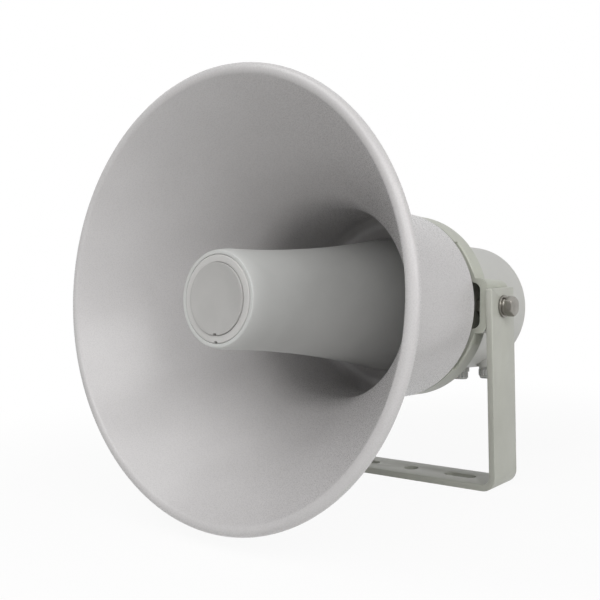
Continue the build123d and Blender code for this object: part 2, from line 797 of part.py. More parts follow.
def vent_plug():
    """Fluted plug with a breathing bore."""
    bottom = -vent_boss_level - vent_height
    plug = turned_z([
        (vent_bore_radius, vent_shank_top), (vent_thread_radius, vent_shank_top),
        (vent_thread_radius, -vent_boss_level), (vent_radius, -vent_boss_level),
        (vent_radius, bottom + vent_chamfer),
        (vent_radius - vent_chamfer, bottom), (vent_bore_radius, bottom)], 0)
    flute = rod_z(vent_flute_radius, bottom - cut_margin, -vent_boss_level - vent_chamfer,
                  vent_radius + vent_flute_stand)
    flutes = [Pos(0, fitting_station, 0) * Rot(0, 0, 360 / vent_flutes * k) * flute for k in range(vent_flutes)]
    pocket = rod_z(vent_membrane_radius + thread_clearance, vent_shank_top - vent_membrane_thickness,
                   vent_shank_top + cut_margin, 0, fitting_station)
    return plug - flutes - pocket


def vent_membrane():
    return rod_z(vent_membrane_radius, vent_shank_top - vent_membrane_thickness, vent_shank_top,
                 0, fitting_station)


def circuit_board():
    board = rod_y(board_radius, board_station, board_station + board_thickness)
    board -= block((-board_radius, board_radius),
                   (board_station - cut_margin, board_station + board_thickness + cut_margin),
                   (-board_radius - cut_margin, -board_flat))
    for angle in standoff_angles:
        x, z = polar(standoff_circle, angle)
        board -= rod_y(m3_radius + passing_clearance, board_station - cut_margin,
                       board_station + board_thickness + cut_margin, x, z)
    return board


def board_screws():
    screw = mirror(screw_y(m3_radius, 0, board_screw_reach, 0, 0), Plane.XZ)
    points = [polar(standoff_circle, angle) for angle in standoff_angles]
    return [Pos(x, board_station, z) * screw for x, z in points]


def network_jack():
    """Socket on the front of the board, its port facing down to the glands."""
    bottom = jack_setback - board_flat
    half = jack_width / 2
    body = block((-half, half), (board_station - jack_height, board_station), (bottom, bottom + jack_depth))
    port_half = jack_port_width / 2
    middle = board_station - jack_height / 2
    port = block((-port_half, port_half), (middle - jack_port_height / 2, middle + jack_port_height / 2),
                 (bottom - cut_margin, bottom + jack_depth - jack_port_back))
    latch = block((-port_half / 2, port_half / 2), (middle - jack_port_height / 2 - jack_latch_height, middle),
                  (bottom - cut_margin, bottom + jack_depth - jack_port_back))
    return body - port - latch


def board_capacitors():
    cans = []
    for k in range(capacitor_count):
        x = (k - (capacitor_count - 1) / 2) * capacitor_pitch
        can = rod_y(capacitor_radius, board_station - capacitor_height, board_station, x, capacitor_row)
        cans.append(chamfer(can.edges().filter_by(GeomType.CIRCLE).group_by(Axis.Y)[0], capacitor_chamfer))
    return cans


def power_module():
    right = -jack_width / 2 - part_gap
    return block((right - module_width, right), (board_station - module_depth, board_station),
                 (-module_height / 2, module_height / 2))


def heat_sink():
    left = jack_width / 2 + part_gap
    back = board_station
    base = block((left, left + sink_width), (back - sink_base, back), (-sink_height / 2, sink_height / 2))
    pitch = (sink_width - sink_fin) / (sink_fin_count - 1)
    fins = [block((left + k * pitch, left + k * pitch + sink_fin),
                  (back - sink_base - sink_fin_height, back - sink_base),
                  (-sink_height / 2, sink_height / 2)) for k in range(sink_fin_count)]
    return base + fins


def u_bracket():
    """Flat bar bent to a U, with slots in its base and a pivot hole in each arm."""
    top = pivot_height + arm_above_pivot
    outer = bracket_outer
    inner = outer - bracket_bar
    outline = make_face(Curve() + [
        FilletPolyline((-outer, top), (-outer, 0), (outer, 0), (outer, top), radius=bracket_bend),
        Line((outer, top), (inner, top)),
        FilletPolyline((inner, top), (inner, bracket_bar), (-inner, bracket_bar), (-inner, top),
                       radius=bracket_bend - bracket_bar),
        Line((-inner, top), (-outer, top))])
    bar = extrude(Plane.XZ * outline, bracket_width / 2, both=True)
    corners = bar.edges().filter_by(Axis.X).group_by(Axis.Z)[-1]
    bar = fillet(corners, arm_corner)
    bar -= rod_x(bolt_radius + bolt_running_clearance, -outer - cut_margin, outer + cut_margin, z=pivot_height)
    bar -= rod_z(base_hole_radius, -cut_margin, bracket_bar + cut_margin)
    slot = extrude(SlotOverall(base_slot_length, base_slot_width), bracket_bar * 3, both=True)
    return bar - both_sides(Pos(base_slot_spacing / 2, 0, 0) * slot)


def pivot_bolts():
    head = hexagon_x(bolt_head_flats, head_seat, head_seat + bolt_head_height, pivot_behind_rim)
    cone_radius = bolt_head_flats / 2 + bolt_head_crown
    dome = Pos(head_seat, pivot_behind_rim, 0) * Rot(0, 90, 0) * Cone(
        cone_radius + bolt_head_height, cone_radius, bolt_head_height,
        align=(Align.CENTER, Align.CENTER, Align.MIN))
    shank = rod_x(bolt_radius, head_seat - bolt_length, head_seat, y=pivot_behind_rim)
    shank = chamfer(shank.edges().filter_by(GeomType.CIRCLE).group_by(Axis.X)[0], bolt_tip_chamfer)
    return both_sides((head & dome) + shank)


def flat_washers():
    start = bracket_outer + washer_gap
    washer = rod_x(flat_washer_radius, start, start + flat_washer_thickness, y=pivot_behind_rim)
    hole = rod_x(bolt_radius + passing_clearance, start - cut_margin,
                 start + flat_washer_thickness + cut_margin, y=pivot_behind_rim)
    return both_sides(washer - hole)


def spring_washers():
    start = head_seat - spring_washer_thickness
    washer = rod_x(spring_washer_radius, start, head_seat, y=pivot_behind_rim)
    hole = rod_x(bolt_radius + passing_clearance, start - cut_margin, head_seat + cut_margin,
                 y=pivot_behind_rim)
    half = spring_washer_split / 2
    split = block((start - cut_margin, head_seat + cut_margin),
                  (pivot_behind_rim - half, pivot_behind_rim + half),
                  (0, spring_washer_radius + cut_margin))
    split = split.rotate(Axis((0, pivot_behind_rim, 0), (1, 0, 0)), spring_washer_split_angle)
    return both_sides(washer - hole - split)


def pivot_nuts():
    nut = hexagon_x(bolt_head_flats, pocket_wall - pivot_nut_height, pocket_wall, pivot_behind_rim)
    hole = rod_x(bolt_radius + thread_clearance, pocket_wall - pivot_nut_height - cut_margin,
                 pocket_wall + cut_margin, y=pivot_behind_rim)
    return both_sides(nut - hole)


def aimed(shapes):
    """Moves horn pieces from the rim's frame to the bracket's, tilted about the pivot bolts."""
    place = Pos(0, 0, pivot_height) * Rot(-aim_up, 0, 0) * Pos(0, -pivot_behind_rim, 0)
    if not isinstance(shapes, list):
        return place * shapes
    return Compound(children=[place * shape for shape in shapes])


horn_pieces = [
    horn_bell, horn_reflector, nose_ring, nose_cap, reflector_screws, throat_tube, horn_gasket,
    mount_ring, ring_screws, driver_housing, phase_plug, diaphragm, voice_coil, top_plate, magnet,
    yoke, driver_screws, cover_gasket, rear_cover, cover_screws, gland_bodies, gland_nuts,
    gland_seals, gland_locknuts, vent_plug, vent_membrane, circuit_board, board_screws,
    network_jack, board_capacitors, power_module, heat_sink, pivot_bolts, flat_washers,
    spring_washers, pivot_nuts]

os.makedirs("parts", exist_ok=True)
export_step(u_bracket(), "parts/u_bracket.step")
for make_piece in horn_pieces:
    export_step(aimed(make_piece()), f"parts/{make_piece.__name__}.step")
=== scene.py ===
import bpy
import math
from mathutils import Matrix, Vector


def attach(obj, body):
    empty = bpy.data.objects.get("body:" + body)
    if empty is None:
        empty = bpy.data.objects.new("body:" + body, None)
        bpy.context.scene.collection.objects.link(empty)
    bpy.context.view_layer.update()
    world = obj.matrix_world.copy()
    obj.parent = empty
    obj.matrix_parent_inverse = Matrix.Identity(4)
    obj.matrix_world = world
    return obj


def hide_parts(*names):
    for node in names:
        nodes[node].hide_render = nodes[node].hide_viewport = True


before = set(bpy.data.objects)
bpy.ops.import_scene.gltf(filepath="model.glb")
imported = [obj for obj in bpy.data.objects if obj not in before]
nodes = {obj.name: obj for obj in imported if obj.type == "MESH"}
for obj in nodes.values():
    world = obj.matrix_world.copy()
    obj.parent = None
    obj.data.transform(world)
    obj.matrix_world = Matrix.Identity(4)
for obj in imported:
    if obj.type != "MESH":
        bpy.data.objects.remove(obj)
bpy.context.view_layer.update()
print("model loaded with", len(nodes), "nodes")

mm = 0.001
weld = 0.005  # mm within which points of a drawn piece are one
waveBand = 0.314  # a wave texture of scale 1 has its bands this far apart


# colours are written as sRGB hex, the way they are picked, and shaders want them linear
def linear(hexColour):
    parts = [int(hexColour[i:i + 2], 16) / 255 for i in (1, 3, 5)]
    return tuple(p / 12.92 if p <= 0.04045 else ((p + 0.055) / 1.055) ** 2.4 for p in parts) + (1.0,)


# adds one shader node; values are its settings or socket values, links feed its sockets
def addNode(tree, kind, values=None, links=None):
    made = tree.nodes.new(kind)
    for key, value in (values or {}).items():
        if key == "stops":
            ramp = made.color_ramp
            while len(ramp.elements) < len(value):
                ramp.elements.new(0.5)
            for element, (place, colour) in zip(ramp.elements, value):
                element.position = place
                element.color = colour
        elif key in made.inputs:
            made.inputs[key].default_value = value
        else:
            setattr(made, key, value)
    for key, socket in (links or {}).items():
        tree.links.new(socket, made.inputs[key])
    return made


# an empty material with its shader, output and object coordinates in place
def newMaterial(name):
    material = bpy.data.materials.new(name)
    material.use_nodes = True
    tree = material.node_tree
    tree.nodes.clear()
    shader = addNode(tree, "ShaderNodeBsdfPrincipled")
    output = addNode(tree, "ShaderNodeOutputMaterial")
    tree.links.new(shader.outputs["BSDF"], output.inputs["Surface"])
    place = addNode(tree, "ShaderNodeTexCoord")
    return material, tree, shader, place.outputs["Object"]


white = (1.0, 1.0, 1.0, 1.0)


# Polyester powder coat baked on metal. The powder melts into a skin with a faint orange peel and
# an even satin gloss, and thins a little over sharp edges.
def powderCoat(name, look):
    material, tree, shader, place = newMaterial(name)
    shader.inputs["Metallic"].default_value = 0.0
    shader.inputs["IOR"].default_value = 1.5
    peel = addNode(
        tree, "ShaderNodeTexNoise",
        {"Scale": 1 / (look["peel"] * mm), "Detail": 2.0, "Roughness": 0.5},
        {"Vector": place})
    grain = addNode(
        tree, "ShaderNodeTexNoise",
        {"Scale": 1 / (look["grain"] * mm), "Detail": 3.0},
        {"Vector": place})
    cloud = addNode(
        tree, "ShaderNodeTexNoise",
        {"Scale": 1 / (look["cloud"] * mm), "Detail": 3.0, "Roughness": 0.6},
        {"Vector": place})
    tone = addNode(
        tree, "ShaderNodeValToRGB",
        {"stops": [(0.32, linear(look["shade"])), (0.68, linear(look["tint"]))]},
        {"Fac": cloud.outputs["Fac"]})
    rounded = addNode(tree, "ShaderNodeBevel", {"samples": 4, "Radius": look["edge"] * mm})
    flat = addNode(tree, "ShaderNodeNewGeometry")
    agree = addNode(tree, "ShaderNodeVectorMath", {"operation": "DOT_PRODUCT"})
    tree.links.new(rounded.outputs["Normal"], agree.inputs[0])
    tree.links.new(flat.outputs["Normal"], agree.inputs[1])
    edge = addNode(
        tree, "ShaderNodeMapRange",
        {"From Min": 0.995, "From Max": 0.9, "To Min": 0.0, "To Max": look["thin"]},
        {"Value": agree.outputs["Value"]})
    thinned = addNode(tree, "ShaderNodeMath", {"operation": "MULTIPLY"})
    tree.links.new(edge.outputs["Result"], thinned.inputs[0])
    tree.links.new(peel.outputs["Fac"], thinned.inputs[1])
    coat = addNode(
        tree, "ShaderNodeMixRGB",
        {"Color2": linear(look["worn"])},
        {"Fac": thinned.outputs["Value"], "Color1": tone.outputs["Color"]})
    tree.links.new(coat.outputs["Color"], shader.inputs["Base Color"])
    gloss = addNode(
        tree, "ShaderNodeMapRange",
        {"From Min": 0.3, "From Max": 0.7, "To Min": look["gloss"][0], "To Max": look["gloss"][1]},
        {"Value": grain.outputs["Fac"]})
    tree.links.new(gloss.outputs["Result"], shader.inputs["Roughness"])
    skin = addNode(
        tree, "ShaderNodeBump",
        {"Strength": 1.0, "Distance": look["rise"] * mm},
        {"Height": peel.outputs["Fac"]})
    fine = addNode(
        tree, "ShaderNodeBump",
        {"Strength": 1.0, "Distance": look["rise"] * mm * 0.25},
        {"Height": grain.outputs["Fac"], "Normal": skin.outputs["Normal"]})
    tree.links.new(fine.outputs["Normal"], shader.inputs["Normal"])
    return material


# Moulded ASA, the weatherproof cousin of ABS. The tool's fine spark finish makes it matt, with a
# slightly yellower cast than paint and soft flow marks.
def mouldedAsa(name, look):
    material, tree, shader, place = newMaterial(name)
    shader.inputs["IOR"].default_value = 1.52
    spark = addNode(
        tree, "ShaderNodeTexVoronoi",
        {"Scale": 1 / (look["spark"] * mm), "feature": "SMOOTH_F1"},
        {"Vector": place})
    flow = addNode(
        tree, "ShaderNodeTexNoise",
        {"Scale": 1 / (look["flow"] * mm), "Detail": 4.0, "Distortion": 0.6},
        {"Vector": place})
    tone = addNode(
        tree, "ShaderNodeValToRGB",
        {"stops": [(0.35, linear(look["shade"])), (0.65, linear(look["tint"]))]},
        {"Fac": flow.outputs["Fac"]})
    tree.links.new(tone.outputs["Color"], shader.inputs["Base Color"])
    gloss = addNode(
        tree, "ShaderNodeMapRange",
        {"From Min": 0.3, "From Max": 0.7, "To Min": look["gloss"][0], "To Max": look["gloss"][1]},
        {"Value": flow.outputs["Fac"]})
    tree.links.new(gloss.outputs["Result"], shader.inputs["Roughness"])
    pits = addNode(
        tree, "ShaderNodeBump",
        {"Strength": 1.0, "Distance": look["rise"] * mm},
        {"Height": spark.outputs["Distance"]})
    tree.links.new(pits.outputs["Normal"], shader.inputs["Normal"])
    return material


# Stainless steel, cold headed and tumbled: soft grey, with short fine scratches that run every way.
def tumbledStainless(name, look):
    material, tree, shader, place = newMaterial(name)
    shader.inputs["Metallic"].default_value = 1.0
    scratch = addNode(
        tree, "ShaderNodeTexNoise",
        {"Scale": 1 / (look["scratch"] * mm), "Detail": 6.0, "Distortion": 1.5},
        {"Vector": place})
    smear = addNode(
        tree, "ShaderNodeTexNoise",
        {"Scale": 1 / (look["smear"] * mm), "Detail": 2.0},
        {"Vector": place})
    tone = addNode(
        tree, "ShaderNodeValToRGB",
        {"stops": [(0.3, linear(look["shade"])), (0.7, linear(look["tint"]))]},
        {"Fac": smear.outputs["Fac"]})
    tree.links.new(tone.outputs["Color"], shader.inputs["Base Color"])
    gloss = addNode(
        tree, "ShaderNodeMapRange",
        {"To Min": look["gloss"][0], "To Max": look["gloss"][1]},
        {"Value": scratch.outputs["Fac"]})
    tree.links.new(gloss.outputs["Result"], shader.inputs["Roughness"])
    dents = addNode(
        tree, "ShaderNodeBump",
        {"Strength": 0.6, "Distance": 0.02 * mm},
        {"Height": scratch.outputs["Fac"]})
    tree.links.new(dents.outputs["Normal"], shader.inputs["Normal"])
    return material


# EPDM rubber: black, dusty grey in the hollows of its moulded skin, with no mirror reflections.
def epdmRubber(name, look):
    material, tree, shader, place = newMaterial(name)
    shader.inputs["IOR"].default_value = 1.47
    shader.inputs["Specular IOR Level"].default_value = 0.35
    skin = addNode(
        tree, "ShaderNodeTexNoise",
        {"Scale": 1 / (look["skin"] * mm), "Detail": 5.0},
        {"Vector": place})
    tone = addNode(
        tree, "ShaderNodeValToRGB",
        {"stops": [(0.4, linear(look["shade"])), (0.75, linear(look["tint"]))]},
        {"Fac": skin.outputs["Fac"]})
    tree.links.new(tone.outputs["Color"], shader.inputs["Base Color"])
    shader.inputs["Roughness"].default_value = 0.78
    rough = addNode(
        tree, "ShaderNodeBump",
        {"Strength": 0.8, "Distance": 0.05 * mm},
        {"Height": skin.outputs["Fac"]})
    tree.links.new(rough.outputs["Normal"], shader.inputs["Normal"])
    return material


# Polyamide 6, as cable glands are moulded: waxy, slightly see-through at thin edges, with a soft
# broad gloss.
def polyamide(name, look):
    material, tree, shader, place = newMaterial(name)
    shader.inputs["IOR"].default_value = 1.53
    shader.inputs["Subsurface Weight"].default_value = 0.05
    shader.inputs["Subsurface Scale"].default_value = 0.6 * mm
    flow = addNode(
        tree, "ShaderNodeTexNoise",
        {"Scale": 1 / (look["flow"] * mm), "Detail": 3.0},
        {"Vector": place})
    tone = addNode(
        tree, "ShaderNodeValToRGB",
        {"stops": [(0.3, linear(look["shade"])), (0.7, linear(look["tint"]))]},
        {"Fac": flow.outputs["Fac"]})
    tree.links.new(tone.outputs["Color"], shader.inputs["Base Color"])
    gloss = addNode(
        tree, "ShaderNodeMapRange",
        {"To Min": 0.34, "To Max": 0.5},
        {"Value": flow.outputs["Fac"]})
    tree.links.new(gloss.outputs["Result"], shader.inputs["Roughness"])
    skin = addNode(
        tree, "ShaderNodeBump",
        {"Strength": 0.5, "Distance": 0.04 * mm},
        {"Height": flow.outputs["Fac"]})
    tree.links.new(skin.outputs["Normal"], shader.inputs["Normal"])
    return material


# Black glass-filled ABS for inner mouldings: dull, with faint grey swirls of fibre at the surface.
def filledAbs(name, look):
    material, tree, shader, place = newMaterial(name)
    shader.inputs["IOR"].default_value = 1.54
    fibre = addNode(
        tree, "ShaderNodeTexNoise",
        {"Scale": 1 / (look["fibre"] * mm), "Detail": 6.0, "Distortion": 2.0},
        {"Vector": place})
    tone = addNode(
        tree, "ShaderNodeValToRGB",
        {"stops": [(0.45, linear(look["shade"])), (0.8, linear(look["tint"]))]},
        {"Fac": fibre.outputs["Fac"]})
    tree.links.new(tone.outputs["Color"], shader.inputs["Base Color"])
    shader.inputs["Roughness"].default_value = 0.55
    skin = addNode(
        tree, "ShaderNodeBump",
        {"Strength": 0.6, "Distance": 0.03 * mm},
        {"Height": fibre.outputs["Fac"]})
    tree.links.new(skin.outputs["Normal"], shader.inputs["Normal"])
    return material


# Pieces that show only when the horn is opened: cast, plated or anodised metal, ferrite and films.
# Each has a fine grain left by the way it was made, and its own gloss.
def innerSurface(name, look):
    material, tree, shader, place = newMaterial(name)
    shader.inputs["Metallic"].default_value = look["metal"]
    grain = addNode(
        tree, "ShaderNodeTexNoise",
        {"Scale": 1 / (look["grain"] * mm), "Detail": 5.0, "Roughness": 0.6},
        {"Vector": place})
    tone = addNode(
        tree, "ShaderNodeValToRGB",
        {"stops": [(0.3, linear(look["shade"])), (0.7, linear(look["tint"]))]},
        {"Fac": grain.outputs["Fac"]})
    tree.links.new(tone.outputs["Color"], shader.inputs["Base Color"])
    gloss = addNode(
        tree, "ShaderNodeMapRange",
        {"To Min": look["gloss"][0], "To Max": look["gloss"][1]},
        {"Value": grain.outputs["Fac"]})
    tree.links.new(gloss.outputs["Result"], shader.inputs["Roughness"])
    skin = addNode(
        tree, "ShaderNodeBump",
        {"Strength": 0.7, "Distance": look["rise"] * mm},
        {"Height": grain.outputs["Fac"]})
    tree.links.new(skin.outputs["Normal"], shader.inputs["Normal"])
    return material


# Enamelled copper wire wound in one layer: fine even turns along the axis of the horn.
def enamelledWire(name, look):
    material, tree, shader, place = newMaterial(name)
    shader.inputs["Metallic"].default_value = 0.8
    shader.inputs["Roughness"].default_value = 0.3
    turns = addNode(
        tree, "ShaderNodeTexWave",
        {"Scale": waveBand / (look["wire"] * mm), "bands_direction": "Y", "Distortion": 0.0},
        {"Vector": place})
    tone = addNode(
        tree, "ShaderNodeValToRGB",
        {"stops": [(0.2, linear(look["shade"])), (0.8, linear(look["tint"]))]},
        {"Fac": turns.outputs["Fac"]})
    tree.links.new(tone.outputs["Color"], shader.inputs["Base Color"])
    ridges = addNode(
        tree, "ShaderNodeBump",
        {"Strength": 1.0, "Distance": 0.08 * mm},
        {"Height": turns.outputs["Fac"]})
    tree.links.new(ridges.outputs["Normal"], shader.inputs["Normal"])
    return material


# Woven epoxy glass board under green solder mask: the glass weave just shows through the mask.
def epoxyGlassBoard(name, look):
    material, tree, shader, place = newMaterial(name)
    shader.inputs["Roughness"].default_value = 0.32
    across = addNode(
        tree, "ShaderNodeTexWave",
        {"Scale": waveBand / (look["weave"] * mm), "bands_direction": "X"},
        {"Vector": place})
    along = addNode(
        tree, "ShaderNodeTexWave",
        {"Scale": waveBand / (look["weave"] * mm), "bands_direction": "Z"},
        {"Vector": place})
    weave = addNode(tree, "ShaderNodeMath", {"operation": "MULTIPLY"})
    tree.links.new(across.outputs["Fac"], weave.inputs[0])
    tree.links.new(along.outputs["Fac"], weave.inputs[1])
    tone = addNode(
        tree, "ShaderNodeValToRGB",
        {"stops": [(0.1, linear(look["shade"])), (0.9, linear(look["tint"]))]},
        {"Fac": weave.outputs["Value"]})
    tree.links.new(tone.outputs["Color"], shader.inputs["Base Color"])
    skin = addNode(
        tree, "ShaderNodeBump",
        {"Strength": 0.4, "Distance": 0.02 * mm},
        {"Height": weave.outputs["Value"]})
    tree.links.new(skin.outputs["Normal"], shader.inputs["Normal"])
    return material


finishes = {
    "horn coat": powderCoat("horn coat", {
        "shade": "#c4c2c2", "tint": "#c9c7c7", "worn": "#d4d2d2", "peel": 2.6, "grain": 0.7,
        "cloud": 60.0, "edge": 0.8, "thin": 0.5, "gloss": (0.24, 0.32), "rise": 0.018}),
    "bracket coat": powderCoat("bracket coat", {
        "shade": "#b2b3aa", "tint": "#b9bab1", "worn": "#c7c8bf", "peel": 1.8, "grain": 0.5,
        "cloud": 35.0, "edge": 0.8, "thin": 0.8, "gloss": (0.34, 0.46), "rise": 0.04}),
    "ring coat": powderCoat("ring coat", {
        "shade": "#b2b4a9", "tint": "#babcb1", "worn": "#c8cac0", "peel": 1.8, "grain": 0.5,
        "cloud": 30.0, "edge": 0.8, "thin": 0.8, "gloss": (0.34, 0.46), "rise": 0.05}),
    "nose plastic": mouldedAsa("nose plastic", {
        "shade": "#c2c3c1", "tint": "#c7c8c6", "spark": 0.6, "flow": 40.0,
        "gloss": (0.42, 0.52), "rise": 0.02}),
    "cover plastic": mouldedAsa("cover plastic", {
        "shade": "#c4c4c0", "tint": "#cacac6", "spark": 0.7, "flow": 50.0,
        "gloss": (0.42, 0.52), "rise": 0.03}),
    "trim plastic": mouldedAsa("trim plastic", {
        "shade": "#c2c1bf", "tint": "#c6c5c3", "spark": 0.6, "flow": 20.0,
        "gloss": (0.40, 0.5), "rise": 0.02}),
    # the cap is the trim ring's ASA made darker: a painted shade on the cap's face
    "cap plastic in painted shade": mouldedAsa("cap plastic in painted shade", {
        "shade": "#aeadab", "tint": "#b3b2b0", "spark": 0.6, "flow": 20.0,
        "gloss": (0.42, 0.52), "rise": 0.02}),
    "gland nylon": polyamide("gland nylon", {"shade": "#bdbebb", "tint": "#c4c5c2", "flow": 6.0}),
    "inner plastic": filledAbs("inner plastic", {
        "shade": "#1b1b1c", "tint": "#2a2a2b", "fibre": 3.0}),
    "stainless": tumbledStainless("stainless", {
        "shade": "#85827c", "tint": "#9b9892", "scratch": 0.5, "smear": 6.0,
        "gloss": (0.28, 0.42)}),
    "gasket rubber": epdmRubber("gasket rubber", {
        "shade": "#19191a", "tint": "#2b2b2b", "skin": 0.8}),
    "die casting": innerSurface("die casting", {  # aluminium as cast, dull and a little pebbled
        "metal": 1.0, "shade": "#9b9c9d", "tint": "#b1b2b3", "grain": 1.2,
        "gloss": (0.45, 0.6), "rise": 0.08}),
    "zinc plate": innerSurface("zinc plate", {  # bright zinc on turned steel
        "metal": 1.0, "shade": "#a3a6a8", "tint": "#bcbfc2", "grain": 0.5,
        "gloss": (0.3, 0.42), "rise": 0.02}),
    "sintered ferrite": innerSurface("sintered ferrite", {  # hard, dark grey and matt
        "metal": 0.0, "shade": "#2c2d2f", "tint": "#3d3e40", "grain": 0.6,
        "gloss": (0.5, 0.7), "rise": 0.05}),
    "polyimide film": innerSurface("polyimide film", {  # clear amber with a soft gloss
        "metal": 0.0, "shade": "#a8641c", "tint": "#bd7a2a", "grain": 4.0,
        "gloss": (0.22, 0.34), "rise": 0.02}),
    "coil wire": enamelledWire("coil wire", {"shade": "#7c3413", "tint": "#b8632f", "wire": 0.3}),
    "breathing film": innerSurface("breathing film", {  # stretched white film, fully matt
        "metal": 0.0, "shade": "#dededb", "tint": "#ecece9", "grain": 0.3,
        "gloss": (0.8, 0.9), "rise": 0.03}),
    "circuit board": epoxyGlassBoard("circuit board", {
        "shade": "#14401f", "tint": "#1c5a2c", "weave": 0.8}),
    "tinned sheet": innerSurface("tinned sheet", {  # thin tinned steel, the brightest of the metals
        "metal": 1.0, "shade": "#b4b5b4", "tint": "#cbccca", "grain": 1.5,
        "gloss": (0.25, 0.35), "rise": 0.015}),
    "can sleeve": innerSurface("can sleeve", {  # shrunk sleeve, smooth and dark blue
        "metal": 0.0, "shade": "#1d2430", "tint": "#262f3f", "grain": 2.0,
        "gloss": (0.25, 0.35), "rise": 0.01}),
    "black anodised": innerSurface("black anodised", {  # extruded aluminium, black and satin
        "metal": 0.6, "shade": "#1e1f21", "tint": "#2b2c2e", "grain": 0.4,
        "gloss": (0.4, 0.52), "rise": 0.02}),
}
print("made", len(finishes), "finishes")

finishOf = {
    "horn_bell": "horn coat", "horn_reflector": "nose plastic", "nose_ring": "trim plastic",
    "nose_cap": "cap plastic in painted shade", "reflector_screws": "stainless", "throat_tube": "inner plastic",
    "horn_gasket": "gasket rubber", "mount_ring": "ring coat", "ring_screws": "stainless",
    "driver_housing": "die casting", "phase_plug": "inner plastic", "diaphragm": "polyimide film",
    "voice_coil": "coil wire", "top_plate": "zinc plate", "magnet": "sintered ferrite",
    "yoke": "zinc plate", "driver_screws": "stainless", "cover_gasket": "gasket rubber",
    "rear_cover": "cover plastic",
    "cover_screws": "stainless", "gland_bodies": "gland nylon", "gland_nuts": "gland nylon",
    "gland_seals": "gasket rubber", "gland_locknuts": "gland nylon", "vent_plug": "gland nylon",
    "vent_membrane": "breathing film", "circuit_board": "circuit board", "board_screws": "stainless",
    "network_jack": "tinned sheet", "board_capacitors": "can sleeve", "power_module": "inner plastic",
    "heat_sink": "black anodised", "pivot_bolts": "stainless", "flat_washers": "stainless",
    "spring_washers": "stainless", "pivot_nuts": "stainless", "u_bracket": "bracket coat"}


def dress(piece, finish):
    piece.data.materials.clear()
    piece.data.materials.append(finishes[finish])


for nodeName, finish in finishOf.items():
    dress(nodes[nodeName], finish)


# nothing stays selected or in edit mode from the step before
def deselectAll():
    if bpy.context.object and bpy.context.object.mode != "OBJECT":
        bpy.ops.object.mode_set(mode="OBJECT")
    bpy.ops.object.select_all(action="DESELECT")


# selects one piece alone and makes it the active one
def takeUp(piece):
    deselectAll()
    piece.select_set(True)
    bpy.context.view_layer.objects.active = piece


def applyModifier(piece, kind, **settings):
    takeUp(piece)
    modifier = piece.modifiers.new(kind.lower(), kind)
    for key, value in settings.items():
        setattr(modifier, key, value)
    bpy.ops.object.modifier_apply(modifier=modifier.name)


def smooth(piece, degrees):
    takeUp(piece)
    bpy.ops.object.shade_smooth_by_angle(angle=math.radians(degrees))


# puts a piece's place into its mesh and lets it stand for a CAD node, with that node's finish
def finishPiece(piece, body, nodeName):
    takeUp(piece)
    bpy.ops.object.transform_apply(location=True, rotation=True, scale=True)
    dress(piece, finishOf[nodeName])
    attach(piece, body)
    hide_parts(nodeName)
    print("finished", piece.name, "with", len(piece.data.polygons), "faces")


# breaks a piece's sharp edges, as coating, casting or moulding leaves them
def soften(piece, width, segments, sharp, crease):
    applyModifier(piece, "BEVEL", width=width * mm, segments=segments, limit_method="ANGLE",
                  angle_limit=math.radians(sharp), use_clamp_overlap=True)
    smooth(piece, crease)


# adds a tool to a piece, cuts it away or keeps what both share, and removes the tool
def joinShapes(piece, tool, operation):
    applyModifier(piece, "BOOLEAN", operation=operation, object=tool, solver="EXACT")
    bpy.data.objects.remove(tool)


bracketSizes = {
    "outer": 82.5, "bar": 5.0, "width": 36.0, "bend": 11.0, "bendSteps": 14, "top": 149.3,
    "corner": 1.5, "cornerSteps": 4, "edge": 0.7, "edgeSteps": 3, "sharp": 40, "crease": 35,
    "pivot": 135.6, "pivotHole": 4.08, "baseHole": 5.5,
    "slotWidth": 9.0, "slotLength": 26.0, "slotSpacing": 88.0,
    "holeSides": 48, "cutterLength": 30.0, "near": 0.1}


